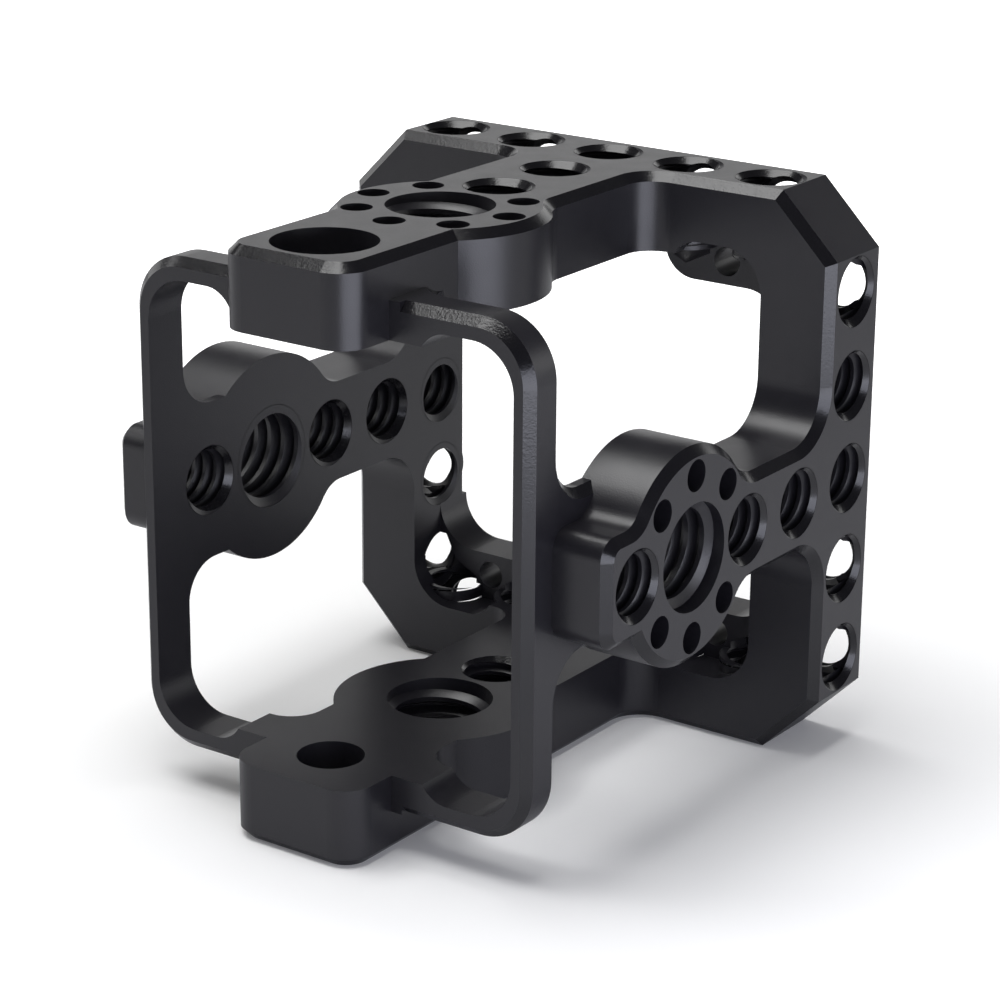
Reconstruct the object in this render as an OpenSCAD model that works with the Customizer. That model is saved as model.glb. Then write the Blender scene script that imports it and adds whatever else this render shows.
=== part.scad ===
// Small camera cage: a slim front ring, four arms with rosette bosses and a
// stout eight-sided rear frame whose corner tabs carry the camera.
// X runs to the right, Y to the rear, Z up. The origin is under the middle of
// the cage, on the surface that it rests on.

/* [Overall] */
// Outer width and height of the cage
cage_size = 52.5; // [52.3:0.1:53.5]
// Thickness of the arms and of the rear frame's bars
bar_t = 7.15; // [6.9:0.05:7.25]
// Pitch of the grid that the tapped holes follow
pitch = 8.62; // [8.6:0.005:8.65]
// Chamfer along the outer edges
edge_chamfer = 0.8; // [0.65:0.05:0.9]

/* [Arms] */
// Rim of each arm's round boss outside the circle of locating holes
boss_rim = 2.4; // [2.26:0.02:2.5]
// Width of the top and bottom arms beside the boss
neck_w = 13.6; // [13.1:0.1:13.9]
// Width of the left and right arms beside the boss
side_neck_w = 9.6; // [9.1:0.1:10.1]
// How far the noses stand out in front of the ring
nose_reach = 5.44; // [5.3:0.02:5.6]
// Corner radius of the noses in front of the ring
nose_corner_r = 2.7; // [2.3:0.1:2.9]
// Corner radius at the front end of the side arms
side_corner_r = 1.8; // [1.4:0.1:2.2]
// How far the noses run on behind the ring before they become the arm
nose_tail = 1.85; // [1.7:0.05:1.95]
// How far the side arms' thick part runs forward over the ring
side_lap = 1.13; // [0.93:0.05:1.33]
// Fillet behind the boss on the top and bottom arms
boss_fillet_r = 2.7; // [1.8:0.1:3]
// Fillet ahead of the boss on the side arms
side_front_fillet_r = 2.4; // [1.85:0.05:2.5]
// Fillet behind the boss on the side arms
side_rear_fillet_r = 3.25; // [2.4:0.05:3.4]
// Fillet where the top and bottom arms meet the rear frame
root_fillet_r = 2.7; // [1.8:0.1:3]
// Fillet where the side arms meet the rear frame
side_root_fillet_r = 4.5; // [3.7:0.1:4.8]
// Width of the side arms' step behind the ring
web_w = 14.5; // [13.7:0.1:14.8]
// Fillet where that step meets the ring
web_fillet_r = 3.6; // [3.1:0.1:3.8]
// Fillet where the noses meet the back of the ring
nose_fillet_r = 3.15; // [2.9:0.05:3.3]

/* [Front ring] */
// Depth of the ring from front to rear
ring_depth = 4.3; // [4.1:0.05:4.5]
// Thickness of the ring's side posts
ring_side_t = 1.7; // [1.55:0.05:2]
// Thickness of the ring's top and bottom bars
ring_top_t = 1.95; // [1.75:0.05:2.15]
// Outer corner radius of the ring
ring_corner_r = 5.25; // [4.9:0.05:5.6]
// Length of full edge left beside each nose
chamfer_stop = 1.1; // [0.8:0.1:1.4]

/* [Camera space] */
// Depth of the corner pockets past the arms' inner faces
pocket_d = 1.4; // [1.25:0.05:1.5]
// Radius of the pockets' outer corners
pocket_corner_r = 4.05; // [3.8:0.05:4.3]
// Radius of the cutter at the pockets' inner ends
pocket_end_r = 2.85; // [2.7:0.05:3]
// Distance of those cutter ends from the side arms' inner faces
pocket_len = 6.6; // [6.4:0.05:6.8]

/* [Rear frame] */
// Leg of the frame's cut corners
corner_leg = 5.7; // [5.3:0.1:5.8]
// Chamfer along the frame's rear outer edges
rear_chamfer = 0.45; // [0.3:0.05:0.6]
// Chamfer along the rear inner edges between the tabs
inner_chamfer = 0.7; // [0.5:0.05:0.8]
// How far the tabs reach in from the top and bottom bars
tab_reach = 3.35; // [3.2:0.05:3.5]
// Length of the tabs from the side bars to their rounded ends
tab_len = 12.75; // [12.6:0.05:12.9]
// Radius of the tabs' rounded ends
tab_end_r = 3.15; // [3:0.05:3.25]
// Radius where the tabs meet the side bars
tab_root_r = 4.05; // [3.8:0.05:4.15]
// Diameter of the camera screw holes in the tabs
tab_hole_d = 2.7; // [2.5:0.05:2.75]
// Distance of the camera screw holes from the side bars
tab_hole_in = 6.15; // [6.12:0.01:6.18]
// Distance of the camera screw holes from the top and bottom bars
tab_hole_down = 1.2; // [1.05:0.05:1.35]

/* [Holes] */
// Major diameter of the small camera thread
small_thread_d = 6.35; // [6.3:0.01:6.4]
// Major diameter of the large camera thread
large_thread_d = 9.525; // [9.4:0.025:9.55]
// Pitch circle of the locating holes round the large holes
rosette_d = 14.35; // [14.3:0.05:14.5]
// Diameter of the locating holes
pin_hole_d = 2.8; // [2.65:0.05:2.9]
// Depth of the locating holes
pin_hole_depth = 4.5; // [3.6:0.1:5.4]
// Distance of the nose holes from the noses' front faces
nose_hole_in = 5.8; // [5.7:0.05:6]
// Diameter of the nose holes
nose_hole_d = 5.9; // [5.6:0.1:6.2]
// Diameter of the nose holes' recess for a screw head
nose_recess_d = 9.05; // [8.85:0.05:9.25]
// Depth of that recess
nose_recess_depth = 4.5; // [3.6:0.1:5]
// Diameter of the tapping drill, left at the foot of the frame's holes
tap_drill_d = 5.1; // [5:0.05:5.2]
// How far that drill runs past the frame's bars, without its point
row_overrun = 0.7; // [0.5:0.05:0.9]
// Depth of the holes in the frame's rear face
rear_hole_depth = 5.4; // [4.9:0.1:5.9]

/* [Hidden] */
half = cage_size / 2;
inner = half - bar_t;
nose_y = 2.5 * pitch;
frame_y0 = 2.5 * pitch;
frame_y1 = 3.5 * pitch;
row_y = 3 * pitch;
nose_hole_y = nose_y - nose_hole_in;
ring_reach = nose_y - nose_reach;
mid_y = (frame_y1 - nose_y) / 2;
seam = 1.5 * pitch;
boss_r = rosette_d / 2 + boss_rim;
neck_half = neck_w / 2;
side_half = side_neck_w / 2;
web_half = web_w / 2;
post_half = web_half + web_fillet_r;
ring_y0 = -ring_reach;
ring_y1 = ring_depth - ring_reach;
nose_seam = -ring_y1 - nose_tail;
side_y = side_lap - ring_y1;
pocket_z = inner + pocket_d;
ring_half_x = inner + ring_side_t;
ring_half_z = pocket_z + ring_top_t;
pocket_corner_x = inner - pocket_corner_r;
pocket_corner_z = pocket_z - pocket_corner_r;
pocket_end_x = inner - pocket_len;
pocket_end_z = pocket_z - pocket_end_r;
tab_t = frame_y1 - row_y;
tab_inner = inner - tab_reach;
tab_end = inner - tab_len;
tab_root_x = inner - tab_root_r;
tab_root_z = tab_inner - tab_root_r;
tab_tip_x = tab_end + tab_end_r;
tab_tip_z = tab_inner + tab_end_r;
bar_mid = half - bar_t / 2;
// Distance of the cut corners' faces from the frame's axis
corner_face = (cage_size - corner_leg) / sqrt(2);
// Clearance that lets one cutter run past the solid that it cuts
past = bar_t / 8;
// Holes in the rear face, counted in pitches along each bar
top_rear_holes = [-2, -1, 1, 2];
side_rear_holes = [-2, -1, 2];

// Extrudes an outline drawn in X and Z from y0 back to y1
module along_y(y0, y1) {
    translate([0, y1, 0]) rotate([90, 0, 0]) linear_extrude(y1 - y0) children();
}

// Extrudes an outline drawn in Y and Z from -half_len to half_len
module along_x(half_len) {
    rotate([90, 0, 90])
        translate([0, 0, -half_len]) linear_extrude(2 * half_len) children();
}

// Disc with a chamfer round its top edge
module chamfered_disc(r, h, c) {
    rotate_extrude($fn = 96)
        polygon([[0, 0], [r, 0], [r, h - c], [r - c, h], [0, h]]);
}

// Bar along Y with chamfers along both top edges
module chamfered_bar(w, y0, y1, h, c) {
    along_y(y0, y1)
        polygon([[-w / 2, 0], [w / 2, 0], [w / 2, h - c], [w / 2 - c, h],
                 [c - w / 2, h], [-w / 2, h - c]]);
}

// Front end of an arm with rounded corners, chamfered on top
module rounded_end(w, reach, r, h, c) {
    chamfered_bar(w, r - reach, 0, h, c);
    along_x(w / 2 - r)
        polygon([[-reach, 0], [0, 0], [0, h], [c - reach, h], [-reach, h - c]]);
    for (s = [-1, 1])
        translate([s * (w / 2 - r), r - reach, 0]) chamfered_disc(r, h, c);
}

// Cutter for a concave fillet whose edge is chamfered on top
module fillet_cutter(r, h, c) {
    rotate_extrude($fn = 96)
        polygon([[0, -past], [r, -past], [r, h - c], [r + c + past, h + past],
                 [0, h + past]]);
}

// Fillets between the boss and a neck; side is 1 behind the boss and -1 ahead
module boss_fillets(neck_half_w, r, side, h, c) {
    cx = neck_half_w + r;
    cy = side * sqrt(pow(boss_r + r, 2) - pow(cx, 2));
    for (s = [-1, 1])
        difference() {
            linear_extrude(h) polygon([[0, 0], [s * cx, cy], [0, cy]]);
            translate([s * cx, cy, 0]) fillet_cutter(r, h, c);
        }
}

// Fillets between a neck and a face across its end, with the edge of that
// face filled in; side is 1 for a face behind and -1 for a face ahead
module root_fillets(neck_half_w, r, face_y, side, h, c) {
    cx = neck_half_w + r;
    y_far = face_y + side * c;
    y_near = face_y - side * r;
    difference() {
        translate([-cx, min(y_far, y_near), 0]) cube([2 * cx, r + c, h]);
        for (s = [-1, 1])
            translate([s * cx, y_near, 0]) fillet_cutter(r, h, c);
    }
}

// Places an arm's plan, drawn with its inner face at zero, on the top side
module on_top() { translate([0, 0, inner]) children(); }

// Places an arm's plan on the right side
module on_right() { rotate([0, 90, 0]) translate([0, 0, inner]) children(); }

// Hole drilled down from the outer face, with a point at its foot
module drilled(d, depth) {
    point_h = d / 4;
    rotate_extrude($fn = 48)
        polygon([[0, bar_t - depth - point_h], [d / 2, bar_t - depth],
                 [d / 2, bar_t + past], [0, bar_t + past]]);
}

// Hole through an arm
module through(d) {
    translate([0, 0, -past]) cylinder(d = d, h = bar_t + 2 * past, $fn = 64);
}

// Locating holes round the large hole, left out where a threaded hole sits
module pin_holes(angles) {
    for (a = angles)
        rotate([0, 0, a]) translate([rosette_d / 2, 0, 0]) drilled(pin_hole_d, pin_hole_depth);
}

module top_plan() {
    rounded_end(neck_w, nose_y, nose_corner_r, bar_t, edge_chamfer);
    chamfered_disc(boss_r, bar_t, edge_chamfer);
    chamfered_bar(neck_w, 0, frame_y0, bar_t, edge_chamfer);
    boss_fillets(neck_half, boss_fillet_r, 1, bar_t, edge_chamfer);
    root_fillets(neck_half, root_fillet_r, frame_y0, 1, bar_t, edge_chamfer);
    root_fillets(neck_half, nose_fillet_r, ring_y1, -1, ring_half_z - inner, edge_chamfer);
}

module top_plan_holes() {
    translate([0, -nose_hole_y, 0]) {
        through(nose_hole_d);
        translate([0, 0, bar_t - nose_recess_depth])
            cylinder(d = nose_recess_d, h = nose_recess_depth + past, $fn = 64);
    }
    through(large_thread_d);
    pin_holes([-180, -135, -90, -45, 0, 45, 135]);
    for (n = [1, 2]) translate([0, n * pitch, 0]) through(small_thread_d);
}

module side_plan() {
    rounded_end(side_neck_w, side_y, side_corner_r, bar_t, edge_chamfer);
    chamfered_disc(boss_r, bar_t, edge_chamfer);
    chamfered_bar(side_neck_w, 0, frame_y0, bar_t, edge_chamfer);
    chamfered_bar(web_w, ring_y1, 0, ring_side_t, edge_chamfer);
    boss_fillets(side_half, side_front_fillet_r, -1, bar_t, edge_chamfer);
    boss_fillets(side_half, side_rear_fillet_r, 1, bar_t, edge_chamfer);
    root_fillets(side_half, side_root_fillet_r, frame_y0, 1, bar_t, edge_chamfer);
    root_fillets(web_half, web_fillet_r, ring_y1, -1, ring_side_t, edge_chamfer);
}

module side_plan_holes() {
    through(large_thread_d);
    pin_holes([-135, -45, 0, 45, 135, 180]);
    for (n = [-1, 1, 2]) translate([0, n * pitch, 0]) through(small_thread_d);
}

// Tapped hole through a bar of the rear frame, with the drill's end beyond it
module row_hole() {
    r = small_thread_d / 2;
    rotate_extrude($fn = 48)
        polygon([[0, -row_overrun - tap_drill_d / 4], [tap_drill_d / 2, -row_overrun],
                 [tap_drill_d / 2, 0], [r, 0], [r, bar_t + past], [0, bar_t + past]]);
}

// Holes along a bar of the rear frame, in its plan
module row_holes() {
    for (n = [-2:2]) translate([n * pitch, row_y, 0]) row_hole();
}

// Tapped hole in the rear face of the frame, with the drill's point at its foot
module rear_hole(x, z) {
    r = small_thread_d / 2;
    h = rear_hole_depth;
    translate([x, frame_y1, z]) rotate([90, 0, 0]) rotate_extrude($fn = 48)
        polygon([[0, -past], [r, -past], [r, h], [tap_drill_d / 2, h],
                 [0, h + tap_drill_d / 4]]);
}

module rear_holes() {
    for (n = top_rear_holes, s = [-1, 1]) rear_hole(n * pitch, s * bar_mid);
    for (n = side_rear_holes, s = [-1, 1]) rear_hole(s * bar_mid, n * pitch);
}

// Clear opening through the ring and the rear frame, with its corner pockets
module opening_2d() {
    square([2 * inner, 2 * pocket_corner_z], center = true);
    square([2 * pocket_corner_x, 2 * inner], center = true);
    for (sx = [-1, 1]) {
        translate([sx * (pocket_end_x + pocket_corner_x) / 2, 0])
            square([pocket_corner_x - pocket_end_x, 2 * pocket_z], center = true);
        for (sz = [-1, 1]) {
            translate([sx * pocket_corner_x, sz * pocket_corner_z])
                circle(r = pocket_corner_r, $fn = 96);
            translate([sx * pocket_end_x, sz * pocket_end_z])
                circle(r = pocket_end_r, $fn = 96);
        }
    }
}

// Ring with chamfers round both outer edges
module ring_body() {
    c = edge_chamfer;
    long_x = ring_half_x - ring_corner_r;
    long_z = ring_half_z - ring_corner_r;
    difference() {
        translate([0, ring_y0, 0]) {
            along_x(long_x) ring_section(ring_half_z);
            rotate([0, 90, 0]) along_x(long_z) ring_section(ring_half_x);
            for (sx = [-1, 1], sz = [-1, 1])
                translate([sx * long_x, 0, sz * long_z]) rotate([-90, 0, 0])
                    rotate_extrude($fn = 96)
                        polygon([[0, 0], [ring_corner_r - c, 0], [ring_corner_r, c],
                                 [ring_corner_r, ring_depth - c],
                                 [ring_corner_r - c, ring_depth], [0, ring_depth]]);
        }
        along_y(ring_y0 - past, ring_y1 + past) opening_2d();
    }
}

module ring_section(h) {
    c = edge_chamfer;
    polygon([[0, c - h], [c, -h], [ring_depth - c, -h], [ring_depth, c - h],
             [ring_depth, h - c], [ring_depth - c, h], [c, h], [0, h - c]]);
}

// Bar of the eight-sided block, chamfered in front and behind
module frame_slab(h) {
    c = edge_chamfer;
    rc = rear_chamfer;
    along_x(cage_size)
        polygon([[frame_y0, c - h], [frame_y0 + c, -h], [frame_y1 - rc, -h],
                 [frame_y1, rc - h], [frame_y1, h - rc], [frame_y1 - rc, h],
                 [frame_y0 + c, h], [frame_y0, h - c]]);
}

// Rear frame before it is cut into bars and corners
module frame_body() {
    difference() {
        intersection() {
            frame_slab(half);
            rotate([0, 90, 0]) frame_slab(half);
            rotate([0, 45, 0]) frame_slab(corner_face);
            rotate([0, -45, 0]) frame_slab(corner_face);
        }
        along_y(frame_y0 - past, frame_y1 + past) opening_2d();
    }
}

// Wedge that chamfers a straight rear inner edge of a bar, in the bar's plan
module inner_edge_cutter(half_len) {
    c = inner_chamfer;
    along_x(half_len)
        polygon([[frame_y1 - c - past, -past], [frame_y1 + past, -past],
                 [frame_y1 + past, c + past]]);
}

module top_nose() {
    color("dimgray") on_top() difference() {
        intersection() {
            top_plan();
            translate([-neck_half - nose_fillet_r, -nose_y, 0])
                cube([neck_w + 2 * nose_fillet_r, nose_y - nose_seam, bar_t]);
        }
        for (s = [-1, 1]) ring_beside_nose(s);
        top_plan_holes();
    }
}

// The ring's own share of the corner beside a nose
module ring_beside_nose(s) {
    translate([s * (neck_half + boss_r), ring_y0, 0])
        translate([-boss_r, 0, -past]) cube([2 * boss_r, ring_depth, bar_t + 2 * past]);
}

module top_arm() {
    color("dimgray") on_top() difference() {
        intersection() {
            top_plan();
            translate([-half, -nose_seam, 0]) cube([cage_size, frame_y0 + nose_seam, bar_t]);
        }
        top_plan_holes();
    }
}

// The side arm's foot takes the ring's rear edge with it, back from the arm's front face
module right_arm() {
    color("dimgray") difference() {
        intersection() {
            union() {
                on_right() side_plan();
                ring_body();
            }
            translate([inner, -side_y, -post_half])
                cube([bar_t, frame_y0 + side_y, 2 * post_half]);
        }
        on_right() side_plan_holes();
    }
}

module ring_right_post() {
    color("gray") intersection() {
        ring_body();
        translate([inner, ring_y0, -post_half])
            cube([ring_side_t, ring_reach - side_y, 2 * post_half]);
    }
}

module ring_corner_top_right() {
    c = edge_chamfer;
    color("gray") {
        intersection() {
            ring_body();
            translate([neck_half, ring_y0, post_half])
                cube([half, ring_depth, half - post_half]);
        }
        translate([neck_half, ring_y0, ring_half_z - c]) cube([chamfer_stop, c, c]);
        intersection() {
            on_top()
                root_fillets(neck_half, nose_fillet_r, ring_y1, -1, ring_half_z - inner, c);
            translate([neck_half, ring_y0, pocket_z])
                cube([nose_fillet_r, ring_depth, ring_top_t]);
        }
    }
}

module frame_top_bar() {
    color("slategray") difference() {
        intersection() {
            union() {
                frame_body();
                on_top()
                    root_fillets(neck_half, root_fillet_r, frame_y0, 1, bar_t, edge_chamfer);
            }
            translate([-seam, frame_y0, 0]) cube([2 * seam, pitch, half]);
        }
        on_top() { row_holes(); inner_edge_cutter(tab_end); }
        rear_holes();
    }
}

module frame_right_bar() {
    color("slategray") difference() {
        intersection() {
            union() {
                frame_body();
                on_right()
                    root_fillets(side_half, side_root_fillet_r, frame_y0, 1, bar_t, edge_chamfer);
            }
            translate([0, frame_y0, -seam]) cube([half, pitch, 2 * seam]);
        }
        on_right() { row_holes(); inner_edge_cutter(tab_root_z); }
        rear_holes();
    }
}

module frame_corner_top_right() {
    color("slategray") difference() {
        intersection() {
            frame_body();
            translate([seam, frame_y0, seam]) cube([half, pitch, half]);
        }
        on_top() row_holes();
        on_right() row_holes();
        rear_holes();
    }
}

// Outline of a corner tab, in X and Z
module tab_2d() {
    intersection() {
        opening_2d();
        union() {
            translate([tab_tip_x, tab_tip_z]) circle(r = tab_end_r, $fn = 96);
            translate([tab_end, tab_tip_z]) square([tab_end_r, pocket_z - tab_tip_z]);
            translate([tab_tip_x, tab_inner]) square([half, half]);
            difference() {
                translate([tab_root_x, tab_root_z]) square([2 * tab_root_r, tab_root_r]);
                translate([tab_root_x, tab_root_z]) circle(r = tab_root_r, $fn = 96);
            }
        }
    }
}

module tab_top_right() {
    color("silver") difference() {
        along_y(row_y, frame_y1) tab_2d();
        translate([inner - tab_hole_in, frame_y1 + past, inner - tab_hole_down]) rotate([90, 0, 0])
            cylinder(d = tab_hole_d, h = tab_t + 2 * past, $fn = 32);
        on_top() row_holes();
        on_right() row_holes();
        rear_holes();
    }
}

// Moves everything from the rosette axis to the resting surface
module placed() { translate([0, -mid_y, half]) children(); }

module flip_x() { mirror([1, 0, 0]) children(); }
module flip_z() { mirror([0, 0, 1]) children(); }

placed() {
    top_nose();
    flip_z() top_nose();  // bottom_nose
    top_arm();
    flip_z() top_arm();  // bottom_arm
    right_arm();
    flip_x() right_arm();  // left_arm
    ring_right_post();
    flip_x() ring_right_post();  // ring_left_post
    ring_corner_top_right();
    flip_x() ring_corner_top_right();  // ring_corner_top_left
    flip_z() ring_corner_top_right();  // ring_corner_bottom_right
    flip_z() flip_x() ring_corner_top_right();  // ring_corner_bottom_left
    frame_top_bar();
    flip_z() frame_top_bar();  // frame_bottom_bar
    frame_right_bar();
    flip_x() frame_right_bar();  // frame_left_bar
    frame_corner_top_right();
    flip_x() frame_corner_top_right();  // frame_corner_top_left
    flip_z() frame_corner_top_right();  // frame_corner_bottom_right
    flip_z() flip_x() frame_corner_top_right();  // frame_corner_bottom_left
    tab_top_right();
    flip_x() tab_top_right();  // tab_top_left
    flip_z() tab_top_right();  // tab_bottom_right
    flip_z() flip_x() tab_top_right();  // tab_bottom_left
}
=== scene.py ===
import math

import bmesh
import bpy
from mathutils import Matrix, Vector


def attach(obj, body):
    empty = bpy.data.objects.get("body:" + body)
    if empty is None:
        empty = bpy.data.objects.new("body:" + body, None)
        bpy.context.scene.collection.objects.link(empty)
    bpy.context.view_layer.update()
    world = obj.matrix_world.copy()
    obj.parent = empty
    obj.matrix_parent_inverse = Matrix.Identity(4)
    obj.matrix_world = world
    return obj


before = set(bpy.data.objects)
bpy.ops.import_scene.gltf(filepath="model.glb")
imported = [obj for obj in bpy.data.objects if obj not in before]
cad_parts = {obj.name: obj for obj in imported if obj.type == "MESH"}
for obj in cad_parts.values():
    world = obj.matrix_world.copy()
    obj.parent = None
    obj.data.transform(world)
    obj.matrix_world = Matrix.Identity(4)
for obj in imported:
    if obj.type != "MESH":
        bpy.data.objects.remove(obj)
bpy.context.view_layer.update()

print("frame loaded:", len(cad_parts), "nodes")

# Sizes of the cage that the loose pieces share with it, in metres
cage = {
    "half": 0.02625,          # half of the width and height
    "barT": 0.00715,          # thickness of arms and bars
    "pitch": 0.00862,         # grid of the tapped holes
    "middleY": -0.00431,      # the large holes' axis, from the box's middle
    "middleZ": 0.02625,       # height of the middle
    "rearHoleDepth": 0.0054,  # holes in the rear face
}
cage["barMid"] = cage["half"] - cage["barT"] / 2
cage["rowY"] = cage["middleY"] + 3 * cage["pitch"]
cage["rearY"] = cage["middleY"] + 3.5 * cage["pitch"]


def deselectAll():
    for obj in bpy.context.selected_objects:
        obj.select_set(False)


def pickOnly(obj):
    deselectAll()
    obj.select_set(True)
    bpy.context.view_layer.objects.active = obj


# Camera, at the photographer's place in front of the right edge
cameraLook = {
    "place": (0.1515875, -0.209021, 0.113374),
    "right": (0.8143, 0.5803, 0.0069),
    "up": (-0.1937, 0.2606, 0.9458),
    "back": (0.5471, -0.7716, 0.3246),
    "lens": 110.42,
    "sensor": 36,
    "clip": (0.01, 20),
}


def addCamera(look):
    data = bpy.data.cameras.new("camera")
    data.lens = look["lens"]
    data.sensor_width = look["sensor"]
    data.clip_start, data.clip_end = look["clip"]
    camera = bpy.data.objects.new("camera", data)
    bpy.context.scene.collection.objects.link(camera)
    turn = Matrix((look["right"], look["up"], look["back"])).transposed()
    camera.matrix_world = Matrix.Translation(look["place"]) @ turn.to_4x4()
    bpy.context.scene.camera = camera


addCamera(cameraLook)
print("camera placed")

# Studio: pale floor and backdrop in a dim room, one softbox overhead and two beside the cage
studio = {
    "roomFill": 0.256,        # evenness of the light on matt surfaces
    "backdropGloss": 0.96,    # the white backdrop, as the metal mirrors it
    "roomGloss": 0.04,        # the dim room above and in front of it
    "backdropTop": (0.29, 0.38),    # where the backdrop ends, as the sine of the height angle
    "frontDirection": (0.2, -0.98, 0.0),
    "frontFade": (0.05, 0.55),      # where the backdrop ends beside the camera
    "floorSize": 6,
    "floorSteps": 8,
    "floorColor": (0.58, 0.58, 0.6, 1),     # the floor that the metal mirrors
    "floorWhite": (1.0, 1.0, 1.0, 1),       # the floor that the camera sees
    "floorGlow": (0.02, 1.0),       # keeps the open floor white to the camera, from near to far
    "glowReach": (0.045, 0.22),     # where that begins and is full, from the middle of the cage
}
lamps = {
    "overheadLamp": {
        "place": (-0.17, -0.05, 0.72),
        "target": (-0.17, -0.05, 0),
        "size": (0.62, 0.52),
        "watts": 4.6,
        "color": (1, 1, 1),
    },
    "rightLamp": {
        "place": (0.124, -0.06, 0.034),
        "target": (0, -0.02, 0.03),
        "size": (0.17, 0.064),
        "watts": 0.095,
        "color": (0.84, 0.86, 1),
    },
    "leftLamp": {
        "place": (-0.5, -0.2, 0.3),
        "target": (0, 0, 0.026),
        "size": (0.3, 0.3),
        "watts": 0.45,
        "color": (1, 1, 1),
    },
}


def mathNode(tree, operation, first, second=None, clamp=False):
    node = tree.nodes.new("ShaderNodeMath")
    node.operation = operation
    node.use_clamp = clamp
    for index, value in enumerate((first, second)):
        if value is None:
            continue
        if isinstance(value, (int, float)):
            node.inputs[index].default_value = value
        else:
            tree.links.new(value, node.inputs[index])
    return node.outputs[0]


def addNode(tree, kind, settings, sources, output=0):
    node = tree.nodes.new(kind)
    for name, value in settings.items():
        if name in node.inputs:
            node.inputs[name].default_value = value
        else:
            setattr(node, name, value)
    for name, source in sources.items():
        tree.links.new(source, node.inputs[name])
    return node.outputs[output]


def fadeNode(tree, value, edges, ends):
    return addNode(tree, "ShaderNodeMapRange",
                   {"interpolation_type": "SMOOTHSTEP", "From Min": edges[0], "From Max": edges[1],
                    "To Min": ends[0], "To Max": ends[1]}, {"Value": value})


def makeWorld(look):
    world = bpy.data.worlds.new("studio")
    bpy.context.scene.world = world
    world.use_nodes = True
    tree = world.node_tree
    tree.nodes.clear()
    where = tree.nodes.new("ShaderNodeTexCoord").outputs["Generated"]
    height = addNode(tree, "ShaderNodeSeparateXYZ", {}, {"Vector": where}, 2)
    aim = tree.nodes.new("ShaderNodeVectorMath")
    aim.operation = "DOT_PRODUCT"
    aim.inputs[1].default_value = Vector(look["frontDirection"]).normalized()
    tree.links.new(where, aim.inputs[0])
    low = fadeNode(tree, height, look["backdropTop"], (1, 0))
    behind = fadeNode(tree, aim.outputs["Value"], look["frontFade"], (1, 0))
    sweep = mathNode(tree, "MULTIPLY", low, behind)
    gloss = addNode(tree, "ShaderNodeMix", {"A": look["roomGloss"], "B": look["backdropGloss"]},
                    {"Factor": sweep})
    path = tree.nodes.new("ShaderNodeLightPath")
    seen = mathNode(tree, "MAXIMUM", path.outputs["Is Camera Ray"],
                    path.outputs["Is Transmission Ray"])
    indoors = addNode(tree, "ShaderNodeMix", {"A": look["roomFill"]},
                      {"Factor": path.outputs["Is Glossy Ray"], "B": gloss})
    level = addNode(tree, "ShaderNodeMix", {"B": 1.0}, {"Factor": seen, "A": indoors})
    sky = addNode(tree, "ShaderNodeBackground", {"Color": (1, 1, 1, 1)}, {"Strength": level})
    out = tree.nodes.new("ShaderNodeOutputWorld")
    tree.links.new(sky, out.inputs["Surface"])


def makeFloor(look):
    deselectAll()
    bpy.ops.mesh.primitive_grid_add(x_subdivisions=look["floorSteps"], size=look["floorSize"],
                                    y_subdivisions=look["floorSteps"], location=(0, 0, 0))
    floor = bpy.context.object
    floor.name = "floor"
    material = bpy.data.materials.new("paleFloor")
    material.use_nodes = True
    tree = material.node_tree
    tree.nodes.clear()
    path = tree.nodes.new("ShaderNodeLightPath")
    tone = addNode(tree, "ShaderNodeMixRGB",
                   {"Color1": look["floorColor"], "Color2": look["floorWhite"]},
                   {"Fac": path.outputs["Is Camera Ray"]})
    matt = addNode(tree, "ShaderNodeBsdfDiffuse", {}, {"Color": tone})
    place = tree.nodes.new("ShaderNodeTexCoord").outputs["Object"]
    away = addNode(tree, "ShaderNodeVectorMath", {"operation": "LENGTH"}, {"Vector": place},
                   "Value")
    openFloor = fadeNode(tree, away, look["glowReach"], look["floorGlow"])
    strength = mathNode(tree, "MULTIPLY", path.outputs["Is Camera Ray"], openFloor)
    glow = addNode(tree, "ShaderNodeEmission", {}, {"Strength": strength})
    both = tree.nodes.new("ShaderNodeAddShader")
    tree.links.new(matt, both.inputs[0])
    tree.links.new(glow, both.inputs[1])
    out = tree.nodes.new("ShaderNodeOutputMaterial")
    tree.links.new(both.outputs[0], out.inputs["Surface"])
    floor.data.materials.append(material)


def addLamp(name, look):
    data = bpy.data.lights.new(name, "AREA")
    data.shape = "RECTANGLE"
    data.size, data.size_y = look["size"]
    data.energy = look["watts"]
    data.color = look["color"]
    lamp = bpy.data.objects.new(name, data)
    bpy.context.scene.collection.objects.link(lamp)
    lamp.location = look["place"]
    aim = Vector(look["target"]) - Vector(look["place"])
    lamp.rotation_euler = aim.to_track_quat("-Z", "Y").to_euler()
    lamp.visible_camera = False


bpy.context.scene.view_settings.view_transform = "Standard"
makeWorld(studio)
makeFloor(studio)
for lampName, lampLook in lamps.items():
    addLamp(lampName, lampLook)
print("studio lit")

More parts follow.
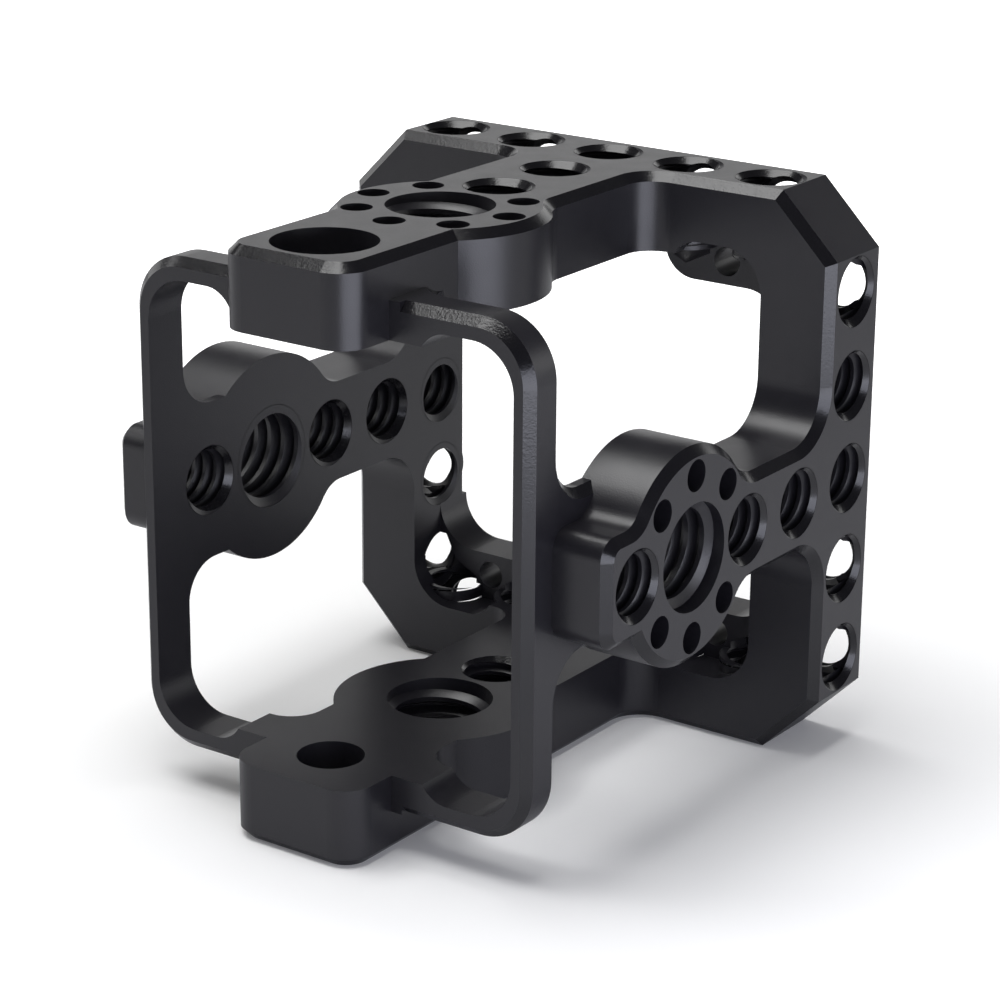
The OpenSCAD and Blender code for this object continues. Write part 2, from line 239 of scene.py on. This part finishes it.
# Satin black anodising over bead-blasted metal, with milled chamfers
anodising = {
    "color": (0.0118, 0.0112, 0.0150),
    "chamferColor": (0.0066, 0.0063, 0.0082),
    "ior": 1.62,
    "roughness": 0.32,
    "chamferRoughness": 0.2,
    "roughnessDrift": 0.08,    # slow unevenness of the gloss
    "driftScale": 520,         # its patches, per metre
    "driftDetail": 3,
    "driftRough": 0.55,
    "grainSize": 0.00013,      # pits of the blasting, in metres
    "grainDepth": 0.000013,
    "grainDetail": 2,
    "grainRough": 0.6,
    "chamferWindow": 0.03,     # how near to 45 degrees a surface has to be to count as chamfer
    "millSize": 0.00022,       # marks of the chamfer cutter, in metres
    "millDepth": 0.00002,
    "millDetail": 1,
    "millRough": 0.5,
    "millWarp": 0.6,
    # the axis that tells the chamfers of a piece, and how strong their cutter marks are
    "finishes": {
        "upDown": ((0, 0, 1), 0.55),
        "sideways": ((1, 0, 0), 0.35),
        "foreAft": ((0, 1, 0), 0.7),
    },
}


def startGroup(name, inputs, outputs):
    group = bpy.data.node_groups.new(name, "ShaderNodeTree")
    for label, kind, value in inputs:
        socket = group.interface.new_socket(label, in_out="INPUT", socket_type=kind)
        if value is not None:
            socket.default_value = value
    for label, kind in outputs:
        group.interface.new_socket(label, in_out="OUTPUT", socket_type=kind)
    return group, group.nodes.new("NodeGroupInput"), group.nodes.new("NodeGroupOutput")


def noiseNode(tree, vector, scale, detail, rough):
    node = tree.nodes.new("ShaderNodeTexNoise")
    node.inputs["Scale"].default_value = scale
    node.inputs["Detail"].default_value = detail
    node.inputs["Roughness"].default_value = rough
    tree.links.new(vector, node.inputs["Vector"])
    return node.outputs["Fac"]


def makeGrainGroup(look):
    group, _, out = startGroup("blastedGrain", [],
                               [("Height", "NodeSocketFloat"), ("Mottle", "NodeSocketFloat")])
    place = group.nodes.new("ShaderNodeTexCoord").outputs["Object"]
    fine = noiseNode(group, place, 1 / look["grainSize"], look["grainDetail"], look["grainRough"])
    broad = noiseNode(group, place, look["driftScale"], look["driftDetail"], look["driftRough"])
    height = mathNode(group, "MULTIPLY", fine, look["grainDepth"])
    group.links.new(height, out.inputs["Height"])
    group.links.new(broad, out.inputs["Mottle"])
    return group


def makeChamferGroup(look):
    group, given, out = startGroup("milledChamfer", [("Axis", "NodeSocketVector", (0, 0, 1))],
                                   [("Mask", "NodeSocketFloat"), ("Height", "NodeSocketFloat")])
    source = group.nodes.new("ShaderNodeTexCoord")
    dot = addNode(group, "ShaderNodeVectorMath", {"operation": "DOT_PRODUCT"}, {}, "Value")
    group.links.new(source.outputs["Normal"], dot.node.inputs[0])
    group.links.new(given.outputs["Axis"], dot.node.inputs[1])
    near = mathNode(group, "COMPARE", mathNode(group, "ABSOLUTE", dot), math.sqrt(0.5))
    near.node.inputs[2].default_value = look["chamferWindow"]
    group.links.new(near, out.inputs["Mask"])
    scales = noiseNode(group, source.outputs["Object"], 1 / look["millSize"],
                       look["millDetail"], look["millRough"])
    scales.node.inputs["Distortion"].default_value = look["millWarp"]
    height = mathNode(group, "MULTIPLY", scales, look["millDepth"])
    group.links.new(height, out.inputs["Height"])
    return group


def makeAnodised(name, axis, millPart, look, groups):
    material = bpy.data.materials.new(name)
    material.use_nodes = True
    tree = material.node_tree
    shader = tree.nodes["Principled BSDF"]
    shader.inputs["IOR"].default_value = look["ior"]
    grain = tree.nodes.new("ShaderNodeGroup")
    grain.node_tree = groups["grain"]
    chamfer = tree.nodes.new("ShaderNodeGroup")
    chamfer.node_tree = groups["chamfer"]
    chamfer.inputs["Axis"].default_value = axis
    mask = chamfer.outputs["Mask"]
    color = tree.nodes.new("ShaderNodeMix")
    color.data_type = "RGBA"
    # this node has sockets of the same name for numbers, vectors and colours
    ends = [socket for socket in color.inputs if socket.type == "RGBA"]
    for socket, value in zip(ends, (look["color"], look["chamferColor"])):
        socket.default_value = (*value, 1)
    mixed = [socket for socket in color.outputs if socket.type == "RGBA"][0]
    tree.links.new(mask, color.inputs["Factor"])
    tree.links.new(mixed, shader.inputs["Base Color"])
    rough = addNode(tree, "ShaderNodeMix",
                    {"A": look["roughness"], "B": look["chamferRoughness"]}, {"Factor": mask})
    drift = mathNode(tree, "MULTIPLY_ADD", grain.outputs["Mottle"], look["roughnessDrift"])
    drift.node.inputs[2].default_value = -look["roughnessDrift"] / 2
    tree.links.new(mathNode(tree, "ADD", rough, drift, clamp=True), shader.inputs["Roughness"])
    marks = mathNode(tree, "MULTIPLY", chamfer.outputs["Height"], millPart)
    height = addNode(tree, "ShaderNodeMix", {},
                     {"Factor": mask, "A": grain.outputs["Height"], "B": marks})
    bump = addNode(tree, "ShaderNodeBump", {"Distance": 1.0, "Strength": 1.0}, {"Height": height})
    tree.links.new(bump, shader.inputs["Normal"])
    return material


groups = {"grain": makeGrainGroup(anodising), "chamfer": makeChamferGroup(anodising)}
finishes = {}
for way, (wayAxis, wayMarks) in anodising["finishes"].items():
    materialName = "anodised" + way[0].upper() + way[1:]
    finishes[way] = makeAnodised(materialName, wayAxis, wayMarks, anodising, groups)


def finishOf(node):
    if "corner" in node or node.startswith("tab"):
        return finishes["foreAft"]
    if "left" in node or "right" in node:
        return finishes["sideways"]
    return finishes["upDown"]


for nodeName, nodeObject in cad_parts.items():
    for slot in nodeObject.material_slots:
        slot.material = finishOf(nodeName)
print("finishes set on the cage")

# Threads: helical ridges that stand in from the walls of the tapped holes, in metres
threads = {
    "small": {"major": 0.003175, "minor": 0.00256, "pitch": 0.00127},
    "large": {"major": 0.0047625, "minor": 0.0040, "pitch": 0.0015875},
    # where each large ridge meets its face, in degrees about the hole's own axis
    "largeStarts": {"top": 330, "right": 330, "bottom": 30},
    # how far each side's small ridges are turned, to bring the full width of the dish into sight
    "smallTurns": {"top": 0, "bottom": 0, "right": -92, "left": 0},
    "leadTurns": 0.35,        # the large ridge rises out of the wall over this part of a turn
    "leastRise": 0.1,         # what is left of its height at the very end
    "embed": 0.00005,         # how far the ridge's root sits in the wall
    "rootPart": 0.875,        # width at the wall, as a part of the pitch
    "crestPart": 0.27,        # width at the crest
    "stepsPerTurn": 40,
    "cutterSides": 96,
    "spare": 0.001,           # how far cutters run past what they cut
    "smoothAngle": math.radians(12),    # less than between the dished end and the flank
}


def applyModifier(obj, name):
    pickOnly(obj)
    bpy.ops.object.modifier_apply(modifier=name)


def cutWith(obj, cutter, operation):
    cut = obj.modifiers.new("cut", "BOOLEAN")
    cut.operation = operation
    cut.solver = "EXACT"
    cut.object = cutter
    applyModifier(obj, "cut")
    bpy.data.objects.remove(cutter)


def settle(obj):
    pickOnly(obj)
    bpy.ops.object.transform_apply(location=True, rotation=True, scale=True)


def turnMesh(obj, turn):
    obj.rotation_euler = turn
    settle(obj)


# One helical ridge along Z, wound down from its upper end
def windRidge(size, top, turns):
    root = size["major"] + threads["embed"]
    deselectAll()
    bpy.ops.mesh.primitive_plane_add(size=1, location=(0, 0, 0), rotation=(math.pi / 2, 0, 0))
    ridge = bpy.context.object
    settle(ridge)
    bpy.ops.object.mode_set(mode="EDIT")
    bpy.ops.mesh.delete(type="ONLY_FACE")
    mesh = bmesh.from_edit_mesh(ridge.data)
    for corner in mesh.verts:
        atRoot = corner.co.x > 0
        width = size["pitch"] * threads["rootPart" if atRoot else "crestPart"]
        upper = corner.co.z > 0
        corner.co.x = root if atRoot else size["minor"]
        corner.co.z = (width if upper else -width) / 2 + top - turns * size["pitch"]
    bmesh.update_edit_mesh(ridge.data)
    bpy.ops.object.mode_set(mode="OBJECT")
    wind = ridge.modifiers.new("wind", "SCREW")
    wind.axis = "Z"
    wind.angle = 2 * math.pi * turns
    wind.screw_offset = size["pitch"] * turns
    wind.steps = wind.render_steps = round(threads["stepsPerTurn"] * turns)
    applyModifier(ridge, "wind")
    bpy.ops.object.mode_set(mode="EDIT")
    bpy.ops.mesh.select_all(action="SELECT")
    bpy.ops.mesh.fill_holes(sides=4)
    bpy.ops.mesh.select_all(action="SELECT")
    bpy.ops.mesh.normals_make_consistent(inside=False)
    bpy.ops.object.mode_set(mode="OBJECT")
    return ridge


# A plug as long as the hole, with a 45 degree dish in the ends that are named
def dishedCutter(size, depth, dishedEnds):
    root = size["major"] + threads["spare"]
    step = size["major"] - size["minor"] + threads["embed"]
    deselectAll()
    bpy.ops.mesh.primitive_cylinder_add(vertices=threads["cutterSides"], radius=root, depth=depth,
                                        location=(0, 0, -depth / 2))
    cutter = bpy.context.object
    settle(cutter)
    bpy.ops.object.mode_set(mode="EDIT")
    bpy.ops.mesh.select_mode(type="FACE")
    for end in dishedEnds:
        bpy.ops.mesh.select_all(action="DESELECT")
        mesh = bmesh.from_edit_mesh(cutter.data)
        for face in mesh.faces:
            face.select = face.normal.z * end > 0.9
        mesh.select_flush(True)
        bmesh.update_edit_mesh(cutter.data)
        bpy.ops.mesh.inset(thickness=root - size["major"])
        bpy.ops.mesh.inset(thickness=step, depth=-step)
    bpy.ops.object.mode_set(mode="OBJECT")
    return cutter


# The bore of the hole that crosses this one
def crossingCutter(size, low, high, turn, place):
    deselectAll()
    bpy.ops.mesh.primitive_cylinder_add(vertices=threads["cutterSides"], radius=size["major"],
                                        depth=high - low)
    cutter = bpy.context.object
    cutter.location = (0, 0, (high + low) / 2)
    settle(cutter)
    cutter.rotation_euler = turn
    cutter.location = place
    settle(cutter)
    return cutter


def cutThread(size, depth, dishedEnds, turned=0):
    # the ridge runs past both faces before it is cut
    turns = math.ceil(depth / size["pitch"]) + 2
    ridge = windRidge(size, (turns - 1) * size["pitch"] - depth, turns)
    turnMesh(ridge, (0, 0, turned))
    cutWith(ridge, dishedCutter(size, depth, dishedEnds), "INTERSECT")
    return ridge


# Lets the crest sink into the wall towards both ends, as a tap leaves it
def taperEnds(ridge, size, top, turns):
    root = size["major"] + threads["embed"]
    bottom = top - turns * size["pitch"]
    lead = threads["leadTurns"] * size["pitch"]
    pickOnly(ridge)
    bpy.ops.object.mode_set(mode="EDIT")
    mesh = bmesh.from_edit_mesh(ridge.data)
    for point in mesh.verts:
        radius = math.hypot(point.co.x, point.co.y)
        if radius > (root + size["minor"]) / 2:
            continue
        rise = min(1, (top - point.co.z) / lead, (point.co.z - bottom) / lead)
        wanted = root - (root - size["minor"]) * max(rise, threads["leastRise"])
        point.co.x *= wanted / radius
        point.co.y *= wanted / radius
    bmesh.update_edit_mesh(ridge.data)
    bpy.ops.object.mode_set(mode="OBJECT")


# A thread that begins and ends between the two faces
def bluntThread(size, depth, start):
    halfRoot = size["pitch"] * threads["rootPart"] / 2
    turns = (depth - 2 * halfRoot) / size["pitch"]
    ridge = windRidge(size, -halfRoot, turns)
    turnMesh(ridge, (0, 0, start - 2 * math.pi * turns))
    taperEnds(ridge, size, -halfRoot, turns)
    return ridge


# Which of the frame's row holes are met by a hole from the rear face
rearHoles = {
    "top": (-2, -1, 1, 2),
    "bottom": (-2, -1, 1, 2),
    "right": (-2, -1, 2),
    "left": (-2, -1, 2),
}
# Small holes of each arm, counted from the large one to the rear
armHoles = {"top": (1, 2), "bottom": (1, 2), "right": (-1, 1, 2), "left": (-1, 1, 2)}
sideTurns = {"top": 0, "right": math.pi / 2, "bottom": math.pi, "left": -math.pi / 2}


def sidePlace(side, along, across, height):
    turn = Matrix.Rotation(sideTurns[side], 3, "Y")
    if side in ("top", "bottom"):
        spot = Vector((across, 0, 0)) + turn @ Vector((0, 0, height))
    else:
        spot = Vector((0, 0, across)) + turn @ Vector((0, 0, height))
    return spot + Vector((0, along, cage["middleZ"]))


def placeThread(source, name, spot, turn, finish):
    copy = source.copy()
    copy.data = source.data.copy()
    copy.name = name
    bpy.context.scene.collection.objects.link(copy)
    copy.location = spot
    turnMesh(copy, turn)
    copy.data.materials.clear()
    copy.data.materials.append(finish)
    pickOnly(copy)
    bpy.ops.object.shade_smooth_by_angle(angle=threads["smoothAngle"])
    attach(copy, "root")


def makeThreads():
    small, large = threads["small"], threads["large"]
    deep = cage["barT"]
    # the rear holes start behind the row and end a little past its middle
    reach = cage["rearY"] - cage["rowY"]
    rearCrossed = cutThread(small, cage["rearHoleDepth"], (1,))
    turnMesh(rearCrossed, (-math.pi / 2, 0, 0))
    cutWith(rearCrossed, crossingCutter(small, -deep, deep, (0, 0, 0), (0, -reach, 0)),
            "DIFFERENCE")
    for side, sideTurn in sideTurns.items():
        turn = (0, sideTurn, 0)
        finish = finishes["upDown" if side in ("top", "bottom") else "sideways"]
        turned = math.radians(threads["smallTurns"][side])
        armSmall = cutThread(small, deep, (1, -1), turned)
        rowWhole = cutThread(small, deep, (1,), turned)
        rowCrossed = cutThread(small, deep, (1,), turned)
        low, high = reach - cage["rearHoleDepth"], reach + threads["spare"]
        cutWith(rowCrossed,
                crossingCutter(small, low, high, (-math.pi / 2, 0, 0), (0, 0, -deep / 2)),
                "DIFFERENCE")
        # on the left the ridge runs out through the faces
        if side in threads["largeStarts"]:
            armLarge = bluntThread(large, deep, math.radians(threads["largeStarts"][side]))
        else:
            armLarge = cutThread(large, deep, ())
        spot = sidePlace(side, cage["middleY"], 0, cage["half"])
        placeThread(armLarge, "thread_" + side + "_large", spot, turn, finish)
        for n in armHoles[side]:
            spot = sidePlace(side, cage["middleY"] + n * cage["pitch"], 0, cage["half"])
            placeThread(armSmall, "thread_%s_arm_%d" % (side, n + 2), spot, turn, finish)
        for n in range(-2, 3):
            source = rowCrossed if n in rearHoles[side] else rowWhole
            spot = sidePlace(side, cage["rowY"], n * cage["pitch"], cage["half"])
            placeThread(source, "thread_%s_row_%d" % (side, n + 3), spot, turn, finish)
        for n in rearHoles[side]:
            spot = sidePlace(side, cage["rearY"], n * cage["pitch"], cage["barMid"])
            placeThread(rearCrossed, "thread_%s_rear_%d" % (side, n + 3), spot, turn,
                        finishes["foreAft"])
        for source in (armSmall, rowWhole, rowCrossed, armLarge):
            bpy.data.objects.remove(source)
    bpy.data.objects.remove(rearCrossed)


makeThreads()
print("threads cut")
